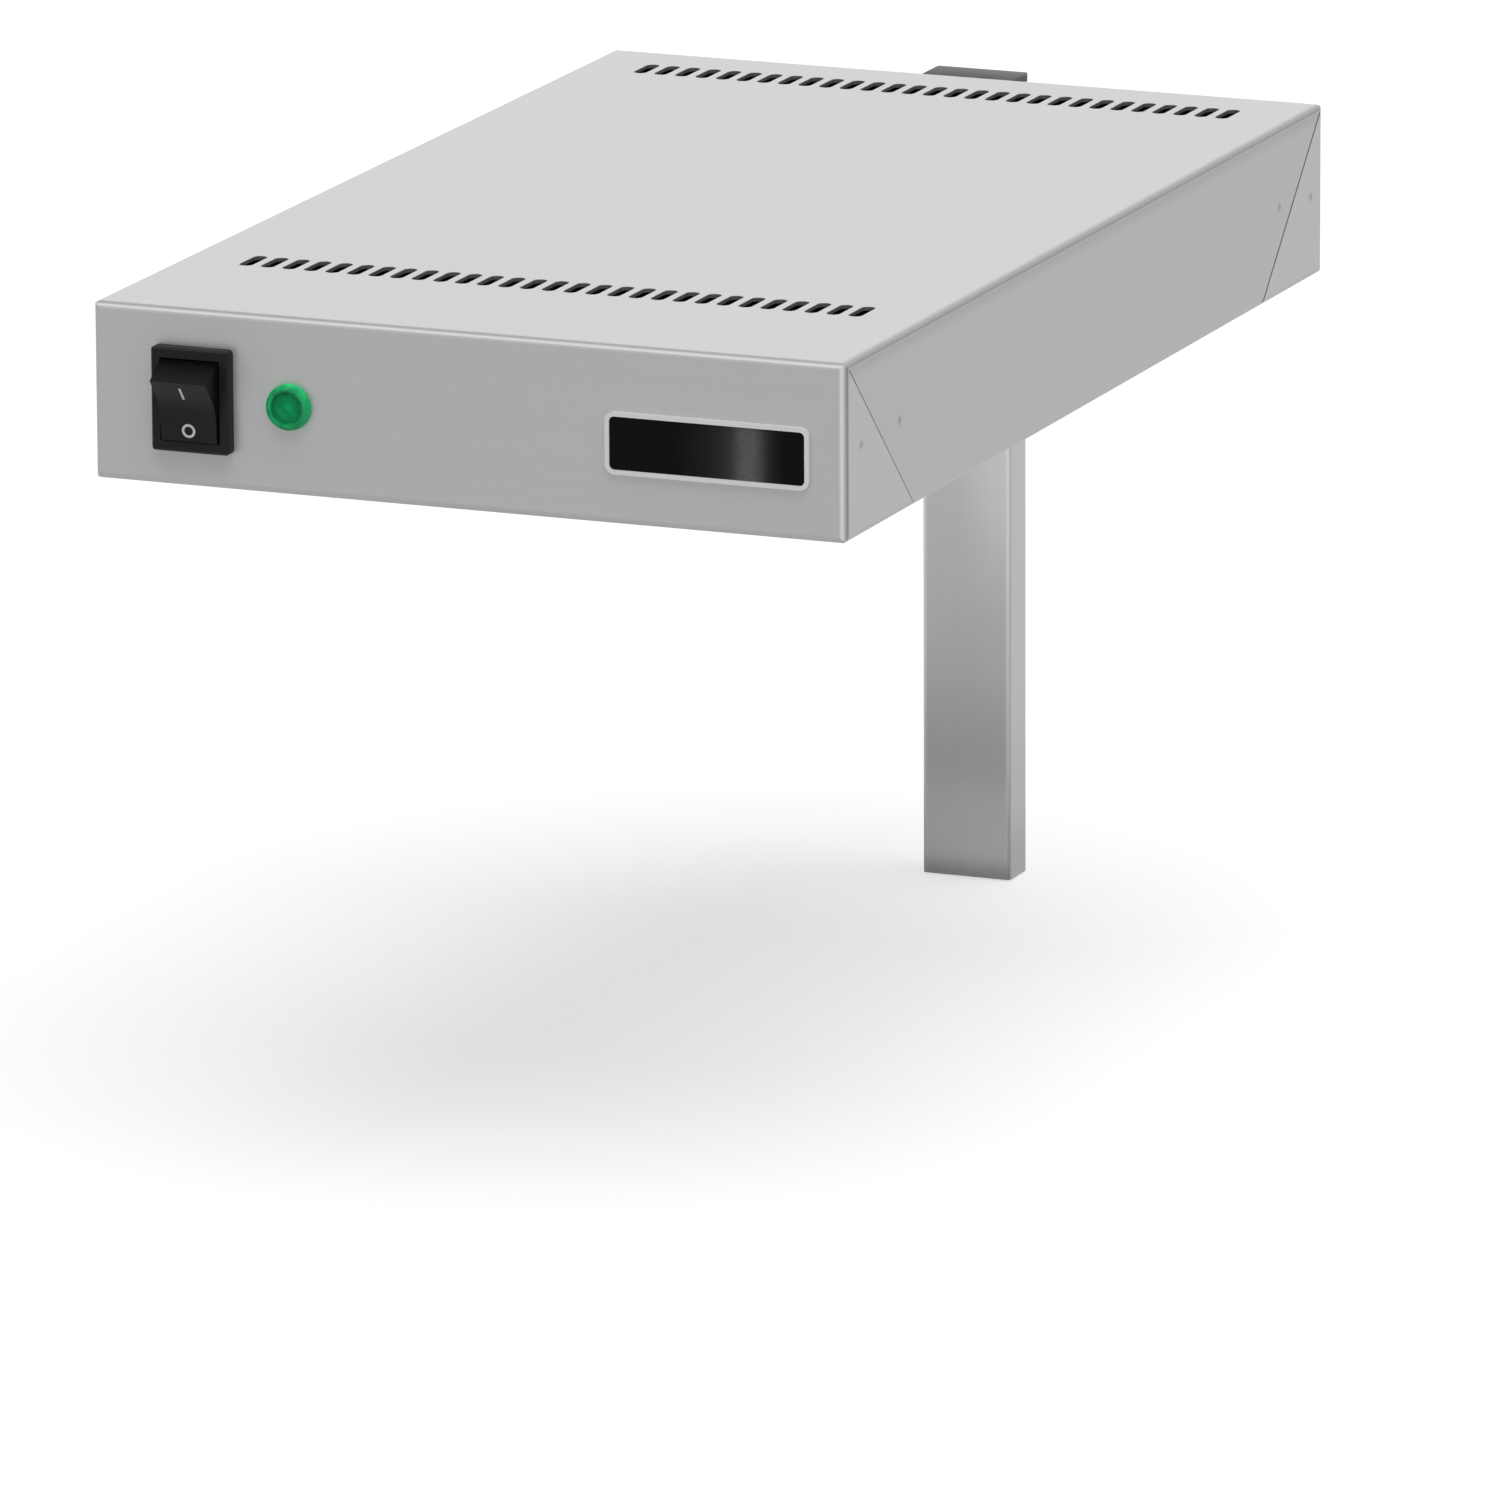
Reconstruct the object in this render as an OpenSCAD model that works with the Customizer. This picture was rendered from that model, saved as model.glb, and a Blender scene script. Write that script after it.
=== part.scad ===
// Overhead heat lamp warmer: a folded stainless head with two ceramic infrared
// emitters above a food container, cantilevered from one rectangular post.
// Frame: origin at the centre of the post's lower end, X to the right seen from
// the front, Y to the back, Z up. Millimetres.

/* [Head] */
// Width of the head over its side walls
head_w = 240; // [200:1:340]
// Depth of the head from front wall to rear wall
head_d = 400; // [300:1:560]
// Height of the head's walls
head_h = 54; // [48:1:80]
// Sheet thickness of the head
sheet_t = 1.2; // [0.8:0.1:2]
// Outside radius of every bend
bend_r = 2.3; // [1.8:0.1:4]
// Width of the return flange round the bottom opening
flange_w = 13; // [10:0.5:16]

/* [Vents] */
// Number of slots in each of the two rows
vent_count = 29; // [9:2:41]
// Distance from slot to slot
vent_pitch = 7; // [6:0.1:10]
// Width of a slot
vent_w = 4.3; // [2:0.1:5]
// Length of a slot
vent_len = 14.3; // [8:0.1:20]
// Front row's centre behind the front wall
vent_front_y = 67.5; // [55:0.5:90]
// Rear row's centre in front of the rear wall
vent_rear_gap = 26; // [20:0.5:40]

/* [Post] */
// Width of the post, seen from the front
post_w = 30; // [25:0.5:40]
// Depth of the post
post_d = 15; // [15:0.5:25]
// Wall of the post
post_t = 1.2; // [1:0.1:3]
// Outside corner radius of the post
post_r = 1.6; // [1.4:0.1:4]
// Height of the head's lower edge above the post's lower end
post_drop = 206.5; // [120:0.5:400]
// Post's top below the head's top, cap included
post_low = 0.7; // [0:0.1:10]
// Thickness of the cap's head
cap_t = 2.5; // [1.5:0.1:4]
// Distance the cap stands out past the post at both sides and at the rear
cap_over = 0.6; // [0:0.1:2]

/* [Controls] */
// Rocker switch centre from the head's middle
switch_x = -87.3; // [-100:0.1:-70]
// Pilot light centre from the head's middle
pilot_x = -56.7; // [-66:0.1:-40]
// Plate centre from the head's middle
plate_x = 76.5; // [50:0.1:80]
// Height of switch and pilot above the head's lower edge
control_z = 26.9; // [24:0.1:40]
// Height of the plate's centre above the head's lower edge
plate_z = 24.7; // [20:0.1:40]
// Width of the switch's bezel
bezel_w = 25; // [24:0.1:27]
// Height of the switch's bezel
bezel_h = 31.5; // [30:0.1:34]
// Thickness of the switch's bezel
bezel_t = 3.8; // [3.4:0.1:4.6]
// Half of the rocker's travel
rock_half = 23; // [10:0.5:24]
// Radius of the pilot light's lens
pilot_r = 7; // [5.8:0.1:9]
// Width of the blank plate
plate_w = 64.4; // [40:0.1:70]
// Height of the blank plate
plate_h = 18.8; // [14:0.1:24]

/* [Heating] */
// Length of one ceramic emitter
emitter_len = 245; // [200:1:260]
// Width of one ceramic emitter
emitter_w = 60; // [50:1:70]
// Distance of each emitter from the head's middle
emitter_x = 48; // [42:0.5:56]
// Pitch of the guard's cross wires
guard_pitch = 26; // [20:1:30]

/* [Fixing] */
// Height of the middle of the two fixing inserts above the post's lower end
insert_z = 50; // [40:1:80]
// Distance between the two fixing inserts
insert_gap = 60; // [40:1:80]
// Bore radius of a fixing insert, for an M6 screw
insert_bore_r = 2.6; // [2:0.05:4]

/* [Hidden] */
fine = 64;
head_front_y = -post_d / 2 - head_d;
head_z1 = post_drop + head_h;
post_top = head_z1 - post_low - cap_t;
inner_top = head_h - sheet_t;
wall_in = head_d - sheet_t;
fold_z = head_h - bend_r;
seam_sum = head_h + 0.3;
vent_rear_y = head_d - vent_rear_gap;
bay_front = 80;
bay_rear = head_d - 50;
cover_t = 1;
floor_z = sheet_t + cover_t;
rim_z = sheet_t + 3;
roof_z = rim_z + 37.8;
foil_t = 0.8;
mouth_x = head_w / 2 - 16;
roof_x = mouth_x - 8;
mid_y = (bay_front + bay_rear) / 2 + 1;
screw_x = head_w / 2 - 9.5;
screw_ys = [mid_y - 104, mid_y, mid_y + 104];
pivot_y = -2.3;
rock_r = 12.4;
pocket_r = 12.65;
rock_w = 18.6;
face_a = 16;
tip_y = -rock_r * cos(58);
tip_z = rock_r * sin(58);
vertex = -tip_y - tip_z * tan(face_a);
face_gap = vertex * cos(face_a);
pocket_x = 9.6;
back_y = 3.7;
back_z = tip_z + (back_y - tip_y) * tan(7);
gland_x = -70;
gland_z = 27;
block_x = -30;
joint_x = 20;
bolt_zs = [14, 40];
lead_y = 109;
dish_r = 10;

// ---- helpers ----

// Puts children in the head's frame: x from the middle, y from the front wall,
// z from the lower edge.
module in_head() {
  translate([0, head_front_y, post_drop]) children();
}

module rounded_rect(w, h, r) {
  square([w - 2 * r, h], center = true);
  square([w, h - 2 * r], center = true);
  for (sx = [-1, 1], sy = [-1, 1])
    translate([sx * (w / 2 - r), sy * (h / 2 - r)]) circle(r = r, $fn = fine);
}

// A box with a true bend along each of its twelve edges.
module folded_box(w, d, h, r) {
  intersection() {
    translate([0, d / 2, 0]) linear_extrude(h) rounded_rect(w, d, r);
    translate([0, d, h / 2]) rotate([90, 0, 0])
      linear_extrude(d) rounded_rect(w, h, r);
    translate([-w / 2, d / 2, h / 2]) rotate([90, 0, 90])
      linear_extrude(w) rounded_rect(d, h, r);
  }
}

// A cylinder along Y from y0 to y1.
module along_y(r, y0, y1, n = fine) {
  translate([0, y1, 0]) rotate([90, 0, 0]) cylinder(r = r, h = y1 - y0, $fn = n);
}

// A cylinder along X from x0 to x1.
module along_x(r, x0, x1) {
  translate([x0, 0, 0]) rotate([0, 90, 0]) cylinder(r = r, h = x1 - x0, $fn = fine);
}

module slot_cut(w, len) {
  square([w, len - w], center = true);
  for (s = [-1, 1]) translate([0, s * (len - w) / 2]) circle(d = w, $fn = 32);
}

function unit(v) = v / norm(v);
function cut_corners(p) = concat([p[0]],
  [for (i = [0 : len(p) - 2]) each [p[i] * 0.75 + p[i + 1] * 0.25,
    p[i] * 0.25 + p[i + 1] * 0.75]], [p[len(p) - 1]]);
function smooth(p, n) = n == 0 ? p : smooth(cut_corners(p), n - 1);
function heading(p, i) = unit(p[min(i + 1, len(p) - 1)] - p[max(i - 1, 0)]);
guide = unit([0.37, 0.23, 0.9]);

// A round insulated lead through the given points, its corners eased.
module lead(points, r = 1.1, sides = 8) {
  p = smooth(points, 2);
  n = len(p);
  pts = [for (i = [0 : n - 1])
    let (t = heading(p, i), a = unit(cross(t, guide)), b = cross(t, a))
    for (k = [0 : sides - 1])
      p[i] + r * (cos(360 * k / sides) * a + sin(360 * k / sides) * b)];
  walls = [for (i = [0 : n - 2], k = [0 : sides - 1])
    let (m = (k + 1) % sides)
    each [[i * sides + k, i * sides + m, (i + 1) * sides + m],
      [i * sides + k, (i + 1) * sides + m, (i + 1) * sides + k]]];
  first = [for (k = [1 : sides - 2]) [0, k + 1, k]];
  last = [for (k = [1 : sides - 2])
    [(n - 1) * sides, (n - 1) * sides + k, (n - 1) * sides + k + 1]];
  polyhedron(points = pts, faces = concat(walls, first, last), convexity = 8);
}

// A pan head screw standing up from z = 0, its head below.
module screw_up(r, head_r, head_h, len) {
  translate([0, 0, -head_h]) cylinder(r = head_r, h = head_h, $fn = fine);
  cylinder(r = r, h = len, $fn = fine);
}

module screw_up_driven(r, head_r, head_h, len) {
  difference() {
    screw_up(r, head_r, head_h, len);
    for (a = [0, 90]) rotate([0, 0, a])
      translate([-head_r * 0.55, -0.4, -head_h - 1])
        cube([head_r * 1.1, 0.8, 2]);
  }
}

module hex_nut(af, h, bore) {
  difference() {
    cylinder(d = af / cos(30), h = h, $fn = 6);
    translate([0, 0, -1]) cylinder(r = bore, h = h + 2, $fn = fine);
  }
}

// ---- head ----

// One welded corner joint: the front wall's tab meets the side at 45 degrees.
module corner_seam(side, back) {
  y_top = back ? head_d - 2.5 : 2.5;
  s = back ? -1 : 1;
  gap = back ? 0.4 : 0.28;
  len = (head_h - 3.4) * sqrt(2);
  translate([side * (head_w / 2 - sheet_t / 2), y_top, head_h - 2.2])
    rotate([s * -45, 0, 0])
      translate([-1, back ? -len : 0, -gap / 2]) cube([2, len, gap]);
}

// The whole folded sheet. The nodes below are its faces, split on the flat
// next to each bend and along the corner seams.
module head_sheet() {
  difference() {
    folded_box(head_w, head_d, head_h, bend_r);
    translate([0, sheet_t, sheet_t])
      folded_box(head_w - 2 * sheet_t, head_d - 2 * sheet_t,
        head_h - 2 * sheet_t, bend_r - sheet_t);
    translate([-head_w / 2 + flange_w, flange_w, -1])
      cube([head_w - 2 * flange_w, head_d - 2 * flange_w, 4]);
    // vent rows
    for (y = [vent_front_y, vent_rear_y], i = [0 : vent_count - 1])
      translate([(i - (vent_count - 1) / 2) * vent_pitch, y, head_h - 4])
        linear_extrude(8) slot_cut(vent_w, vent_len);
    // seams of the folded corners
    for (side = [-1, 1], back = [false, true]) corner_seam(side, back);
    // resistance weld marks on the tabs, shallow dishes
    for (side = [-1, 1], yz = [[11.8, 27.5], [42.1, 28.3],
        [head_d - 38.7, 28.6], [head_d - 10.7, 26.3]])
      translate([side * (head_w / 2 + dish_r - 0.1), yz[0], yz[1]])
        sphere(r = dish_r, $fn = fine);
    // control openings in the front wall
    translate([switch_x - 11.1, -1, control_z - 14.1]) cube([22.2, 4, 28.2]);
    translate([pilot_x, 0, control_z]) along_y(5.1, -1, 4);
    // cable gland and post bolts in the rear wall
    translate([gland_x, 0, gland_z]) along_y(8.2, head_d - 4, head_d + 1);
    for (z = bolt_zs) translate([0, 0, z]) along_y(3.3, head_d - 4, head_d + 1);
    // screw holes in the bottom flange
    for (side = [-1, 1], y = screw_ys)
      translate([side * screw_x, y, -1]) cylinder(r = 2, h = 4, $fn = fine);
    for (side = [-1, 1]) {
      translate([side * 80, 9.4, -1]) cylinder(r = 2, h = 4, $fn = fine);
      translate([side * 80, head_d - 9.4, -1]) cylinder(r = 2, h = 4, $fn = fine);
    }
  }
}

// The piece of the sheet inside a profile in Y and Z, from x0 to x1.
module sheet_part(x0, x1, profile) {
  color([0.74, 0.75, 0.76]) in_head() intersection() {
    head_sheet();
    translate([x0, 0, 0]) rotate([90, 0, 90]) linear_extrude(x1 - x0)
      polygon(profile);
  }
}

module head_top() {
  sheet_part(-head_w, head_w, [[-9, fold_z], [head_d + 9, fold_z],
    [head_d + 9, head_h + 9], [-9, head_h + 9]]);
}

module front_wall() {
  sheet_part(-head_w, head_w, [[-9, bend_r], [seam_sum - bend_r, bend_r],
    [seam_sum - fold_z, fold_z], [-9, fold_z]]);
}

module rear_wall() {
  sheet_part(-head_w, head_w, [[head_d + 9, bend_r],
    [head_d - seam_sum + bend_r, bend_r], [head_d - seam_sum + fold_z, fold_z],
    [head_d + 9, fold_z]]);
}

module side_wall(x0, x1) {
  sheet_part(x0, x1, [[seam_sum - bend_r, bend_r],
    [head_d - seam_sum + bend_r, bend_r], [head_d - seam_sum + fold_z, fold_z],
    [seam_sum - fold_z, fold_z]]);
}

module left_wall() {
  side_wall(-head_w, 0);
}

module right_wall() {
  side_wall(0, head_w);
}

module bottom_flange() {
  sheet_part(-head_w, head_w, [[-9, -9], [head_d + 9, -9],
    [head_d + 9, bend_r], [-9, bend_r]]);
}

module corner_backings() {
  color([0.66, 0.67, 0.68]) in_head()
    for (side = [-1, 1], back = [0, 1]) {
      s = back == 1 ? -1 : 1;
      y0 = back == 1 ? head_d : 0;
      x0 = side * (head_w / 2 - sheet_t) - (side > 0 ? 1 : 0);
      translate([x0, 0, 0]) rotate([90, 0, 90]) linear_extrude(1)
        polygon([[y0 + s * 3, 48], [y0 + s * 12, 48], [y0 + s * 56, 4],
          [y0 + s * 38, 4], [y0 + s * 3, 39]]);
    }
}

module rear_stiffener() {
  color([0.62, 0.63, 0.65]) in_head()
    difference() {
      union() {
        translate([-40, wall_in - 3, 4]) cube([80, 3, 47]);
        for (x = [-40, 38]) translate([x, wall_in - 11, 4]) cube([2, 9, 47]);
      }
      for (z = bolt_zs) translate([0, 0, z]) along_y(3.3, wall_in - 5, wall_in + 1);
    }
}

module partition(y0, foot) {
  half = head_w / 2 - sheet_t - 1.2;
  translate([-half, y0, floor_z]) cube([2 * half, 1, inner_top - floor_z - 0.2]);
  translate([-half, foot > 0 ? y0 : y0 - 13, floor_z]) cube([2 * half, 14, 1]);
}

module front_partition() {
  color([0.7, 0.71, 0.72]) in_head()
    difference() {
      partition(bay_front, -1);
      for (side = [-1, 1], s = [-1, 1])
        translate([side * emitter_x + s * 3.5, 0, roof_z + 3.5])
          along_y(1.7, bay_front - 1, bay_front + 2);
      translate([-lead_y, 0, 22]) along_y(6, bay_front - 1, bay_front + 2);
      for (x = [-100, -35, 35, 100]) translate([x, bay_front - 7, 0])
        cylinder(r = 2, h = 8, $fn = fine);
    }
}

module rear_partition() {
  color([0.7, 0.71, 0.72]) in_head()
    difference() {
      partition(bay_rear, 1);
      translate([-lead_y, 0, 22]) along_y(6, bay_rear - 1, bay_rear + 2);
      for (x = [-100, -35, 35, 100]) translate([x, bay_rear + 8, 0])
        cylinder(r = 2, h = 8, $fn = fine);
    }
}

module control_cover() {
  half = head_w / 2 - sheet_t - 2;
  color([0.72, 0.73, 0.74]) in_head()
    difference() {
      translate([-half, 4, sheet_t]) cube([2 * half, bay_front - 3, cover_t]);
      for (x = [-100, -35, 35, 100]) translate([x, bay_front - 7, 0])
        cylinder(r = 2, h = 6, $fn = fine);
      for (x = [-80, 80]) translate([x, 9.4, 0]) cylinder(r = 2, h = 6, $fn = fine);
      for (x = [-14 : 7 : 14]) translate([x, 60, 0])
        linear_extrude(6) slot_cut(3, 12);
    }
}

module wiring_cover() {
  half = head_w / 2 - sheet_t - 2;
  color([0.72, 0.73, 0.74]) in_head()
    difference() {
      translate([-half, bay_rear, sheet_t])
        cube([2 * half, wall_in - 3 - bay_rear, cover_t]);
      for (x = [-100, -35, 35, 100]) translate([x, bay_rear + 8, 0])
        cylinder(r = 2, h = 6, $fn = fine);
      for (x = [-80, 80]) translate([x, head_d - 9.4, 0])
        cylinder(r = 2, h = 6, $fn = fine);
    }
}

module cover_screws() {
  color([0.8, 0.8, 0.82]) in_head() {
    for (x = [-100, -35, 35, 100], y = [bay_front - 7, bay_rear + 8])
      translate([x, y, sheet_t]) screw_up_driven(1.9, 3.6, 1.5, 5);
    for (x = [-80, 80], y = [9.4, head_d - 9.4])
      translate([x, y, 0]) screw_up_driven(1.9, 3.4, 1, 6);
  }
}

// ---- heating ----

module reflector() {
  y0 = bay_front + 4;
  y1 = bay_rear - 2;
  rim_x = head_w / 2 - 3;
  color([0.86, 0.87, 0.88]) in_head()
    difference() {
      union() {
        translate([0, y1, 0]) rotate([90, 0, 0]) linear_extrude(y1 - y0)
          polygon([[-rim_x, rim_z], [-mouth_x, rim_z], [-roof_x, roof_z - foil_t],
            [roof_x, roof_z - foil_t], [mouth_x, rim_z], [rim_x, rim_z],
            [rim_x, rim_z + foil_t], [mouth_x + foil_t, rim_z + foil_t],
            [roof_x + foil_t, roof_z], [-roof_x - foil_t, roof_z],
            [-mouth_x - foil_t, rim_z + foil_t], [-rim_x, rim_z + foil_t]]);
        for (y = [y0, y1 - foil_t]) translate([0, y + foil_t, 0]) rotate([90, 0, 0])
          linear_extrude(foil_t)
            polygon([[-mouth_x, rim_z], [-roof_x, roof_z], [roof_x, roof_z],
              [mouth_x, rim_z]]);
        for (y = [y0 - 2, y1 - foil_t]) translate([-mouth_x, y, rim_z])
          cube([2 * mouth_x, 2 + foil_t, foil_t]);
      }
      for (side = [-1, 1]) translate([side * emitter_x - 7.5, mid_y - 15.5, roof_z - 3])
        cube([15, 31, 6]);
      for (side = [-1, 1], y = screw_ys)
        translate([side * screw_x, y, rim_z - 1]) cylinder(r = 2, h = 4, $fn = fine);
    }
}

module reflector_screws() {
  color([0.8, 0.8, 0.82]) in_head()
    for (side = [-1, 1], y = screw_ys)
      translate([side * screw_x, y, 0]) screw_up_driven(1.9, 3.6, 1.5, 9);
}

module reflector_spacers() {
  color([0.7, 0.71, 0.73]) in_head()
    for (side = [-1, 1], y = screw_ys)
      translate([side * screw_x, y, sheet_t]) difference() {
        cylinder(r = 3.2, h = rim_z - sheet_t, $fn = fine);
        translate([0, 0, -1]) cylinder(r = 2.1, h = 6, $fn = fine);
      }
}

module reflector_nuts() {
  color([0.78, 0.78, 0.8]) in_head()
    for (side = [-1, 1], y = screw_ys)
      translate([side * screw_x, y, rim_z + foil_t]) hex_nut(7, 2.8, 2);
}

module emitter() {
  arch_r = 50;
  rise = 30;
  color([0.93, 0.92, 0.88])
    difference() {
      union() {
        translate([0, mid_y + emitter_len / 2, rise - arch_r]) rotate([90, 0, 0])
          linear_extrude(emitter_len) intersection() {
            difference() {
              circle(r = arch_r, $fn = 96);
              circle(r = arch_r - 8, $fn = 96);
            }
            translate([-emitter_w / 2, 20]) square([emitter_w, arch_r]);
          }
        translate([-7, mid_y - 15, rise - 3]) cube([14, 30, roof_z + 5 - rise + 3]);
      }
      // groove for the spring clip
      for (s = [-1, 1]) translate([s * 7 - 1, mid_y - 16, roof_z + 1.1])
        cube([2, 32, 1.4]);
    }
}

module emitter_left() {
  in_head() translate([-emitter_x, 0, 0]) emitter();
}

module emitter_right() {
  in_head() translate([emitter_x, 0, 0]) emitter();
}

module emitter_clips() {
  color([0.75, 0.74, 0.7]) in_head()
    for (side = [-1, 1]) translate([side * emitter_x, mid_y, roof_z]) {
      for (s = [-1, 1]) translate([s * 11.25 - 4.95, -12, 1.3]) cube([9.9, 24, 1]);
      for (s = [-1, 1]) translate([s * 15.7 - 0.5, -12, 0]) cube([1, 24, 1.8]);
    }
}

module emitter_beads() {
  color([0.9, 0.88, 0.82]) in_head()
    for (side = [-1, 1], s = [-1, 1], i = [0 : 5])
      translate([side * emitter_x + s * 3.5, mid_y - 16 - 9 * i, roof_z + 3.5])
        difference() {
          along_y(2.4, -8.2, 0, 24);
          along_y(1.35, -9.2, 1, 24);
        }
}

module emitter_leads() {
  z0 = roof_z + 3.5;
  color([0.82, 0.8, 0.74]) in_head()
    for (side = [-1, 1], s = [-1, 1]) {
      x0 = side * emitter_x + s * 3.5;
      xb = joint_x + (side * 2 + s) * 4.5;
      lead([[x0, mid_y - 15.2, z0], [x0, mid_y - 80, z0], [x0, 100, z0],
        [x0, 70, z0], [(x0 + xb) / 2, 62, 42 - side * s * 3], [xb, 60, 30],
        [xb, 58, 10], [xb, 50.2, 10]], 1.1);
    }
}

module guard_grille() {
  loop_x = head_w / 2 - 4.5;
  y0 = bay_front + 7;
  y1 = bay_rear - 5;
  z0 = sheet_t + 1.5;
  wire_r = 1.3;
  reach = loop_x - 1.5 - 0.04;
  count = 2 * floor((y1 - y0 - 10) / (2 * guard_pitch) + 0.5);
  start = mid_y - (count - 1) * guard_pitch / 2;
  color([0.82, 0.83, 0.84]) in_head() {
    for (s = [-1, 1]) translate([s * loop_x, 0, z0]) along_y(1.5, y0, y1);
    for (y = [y0 + 1, y1 - 1]) translate([0, y, z0]) along_x(wire_r, -reach, reach);
    for (i = [0 : count - 1]) translate([0, start + i * guard_pitch, z0])
      along_x(wire_r, -reach, reach);
    for (x = [-66, -22, 22, 66]) translate([x, 0, z0 + 2 * wire_r + 0.03])
      along_y(wire_r, y0 + 0.5, y1 - 0.5);
  }
}

// ---- controls ----

module at_switch() {
  in_head() translate([switch_x, 0, control_z]) children();
}

// The bezel's front edges are eased by a narrow bevel.
module bezel() {
  bevel = 0.6;
  intersection() {
    rotate([90, 0, 0]) linear_extrude(bezel_t)
      rounded_rect(bezel_w, bezel_h, 1.3);
    translate([0, 0, -bezel_h / 2]) linear_extrude(bezel_h)
      polygon([[-bezel_w / 2, 0], [bezel_w / 2, 0],
        [bezel_w / 2, bevel - bezel_t], [bezel_w / 2 - bevel, -bezel_t],
        [bevel - bezel_w / 2, -bezel_t], [-bezel_w / 2, bevel - bezel_t]]);
    translate([-bezel_w / 2, 0, 0]) rotate([90, 0, 90]) linear_extrude(bezel_w)
      polygon([[0, -bezel_h / 2], [0, bezel_h / 2],
        [bevel - bezel_t, bezel_h / 2], [-bezel_t, bezel_h / 2 - bevel],
        [-bezel_t, bevel - bezel_h / 2], [bevel - bezel_t, -bezel_h / 2]]);
  }
}

module switch_housing() {
  color([0.06, 0.06, 0.065]) at_switch()
    difference() {
      union() {
        bezel();
        translate([-11, 0, -14]) cube([22, 26, 28]);
      }
      // rocker pocket
      intersection() {
        translate([0, pivot_y, 0]) along_x(pocket_r, -pocket_x, pocket_x);
        translate([-12, -10, -20]) cube([24, pivot_y + 19, 40]);
      }
      translate([0, pivot_y, 0]) along_x(0.95, -pocket_x - 1.6, pocket_x + 1.6);
      // window for the rocker's tongue and hollow for the contacts
      translate([-4, 6, -7]) cube([8, 7, 14]);
      translate([-9, 12, -11]) cube([18, 12, 22]);
    }
}

// The rocker seen from the side in its middle position, front to the left.
module rocker_profile() {
  ease = 4.5;
  r_ease = ease / sin(face_a);
  cy = -vertex - ease * tan(face_a) - r_ease * cos(face_a);
  arc = [for (i = [-5 : 5]) let (a = face_a * i / 5)
    [cy + r_ease * cos(a), r_ease * sin(a)]];
  polygon(concat([[back_y, -back_z], [tip_y, -tip_z]], arc,
    [[tip_y, tip_z], [back_y, back_z]]));
}

module switch_rocker() {
  color([0.09, 0.09, 0.095]) at_switch()
    translate([0, pivot_y, 0]) rotate([rock_half, 0, 0]) {
      intersection() {
        translate([-rock_w / 2, 0, 0]) rotate([90, 0, 90])
          linear_extrude(rock_w) rocker_profile();
        // both sides lean in towards the front
        translate([0, 0, -15]) linear_extrude(30)
          polygon([[-rock_w / 2, 5], [rock_w / 2, 5], [rock_w / 2, -2],
            [rock_w / 2 - 0.4, tip_y - 0.1], [-rock_w / 2 + 0.4, tip_y - 0.1],
            [-rock_w / 2, -2]]);
      }
      along_x(0.9, -rock_w / 2 - 1.6, rock_w / 2 + 1.6);
      // tongue that tips the contact lever
      translate([-3, 0, -1.5]) cube([6, 12, 3]);
    }
}

module rocker_marks() {
  color([0.93, 0.93, 0.92]) at_switch()
    translate([0, pivot_y, 0]) rotate([rock_half, 0, 0]) {
      // line on the upper face
      rotate([face_a, 0, 0])
        translate([-0.35, -face_gap - 0.13, 4.6]) cube([0.7, 0.12, 5]);
      // ring on the lower face
      rotate([-face_a, 0, 0]) translate([0, -face_gap - 0.01, -8.5])
        rotate([90, 0, 0]) linear_extrude(0.12) difference() {
          circle(d = 4.3, $fn = fine);
          circle(d = 2.8, $fn = fine);
        }
    }
}

module switch_terminals() {
  color([0.8, 0.72, 0.45]) at_switch()
    for (x = [-5.5, 5.5], z = [-7, 7]) translate([x - 0.4, 26, z - 3.15])
      cube([0.8, 9, 6.3]);
}

module switch_leads() {
  xs = switch_x + 5.5;
  xb = joint_x - 13.5;
  color([0.25, 0.16, 0.12]) in_head() {
    lead([[xs, 35.1, control_z - 7], [xs, 42, control_z - 7],
      [xs + 14, 46, 16], [xs + 44, 44, 13], [xb - 19, 36, 10], [xb - 10, 30, 9.5],
      [xb, 29, 9.5], [xb, 33.8, 9.5]], 1.2);
    lead([[xs, 35.1, control_z + 7], [xs, 42, control_z + 7],
      [xs + 16, 46, 28], [xs + 44, 40, 21], [xb - 16, 32, 17], [xb - 4, 25, 13],
      [xb + 9, 25, 9.5], [xb + 9, 33.8, 9.5]], 1.2);
  }
}

module pilot_lens() {
  stem = 15;
  color([0.02, 0.62, 0.3]) in_head() translate([pilot_x, 0, control_z])
    rotate([90, 0, 0]) rotate_extrude($fn = 96)
      polygon([[0, 1.9], [4.5, 1.9], [4.9, 2.7], [5.7, 2.9], [6.6, 2.4],
        [pilot_r, 1.2], [pilot_r, 0], [5, 0], [5, -stem], [3.6, -stem],
        [3.6, -1], [0, -1]]);
}

module pilot_nut() {
  color([0.12, 0.12, 0.13]) in_head()
    translate([pilot_x, sheet_t + 3, control_z]) rotate([90, 0, 0])
      hex_nut(14, 3, 5.03);
}

module pilot_neon() {
  color([0.9, 0.75, 0.6]) in_head()
    translate([pilot_x, 0, control_z]) {
      along_y(3.3, 12, 16.5);
      along_y(1.9, 3, 12.5);
    }
}

module pilot_leads() {
  xb = joint_x + 4.5;
  color([0.55, 0.55, 0.56]) in_head() {
    lead([[pilot_x - 1.4, 16.6, control_z], [pilot_x - 1.4, 24, control_z],
      [pilot_x + 12, 28, 25], [xb - 24, 20, 20], [xb, 20, 10],
      [xb, 33.8, 9.5]], 0.9);
    lead([[pilot_x + 1.4, 16.6, control_z], [pilot_x + 1.4, 20, control_z],
      [pilot_x + 15, 20, 18], [xb - 18, 12, 14], [xb + 9, 14, 9.5],
      [xb + 9, 33.8, 9.5]], 0.9);
  }
}

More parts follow.
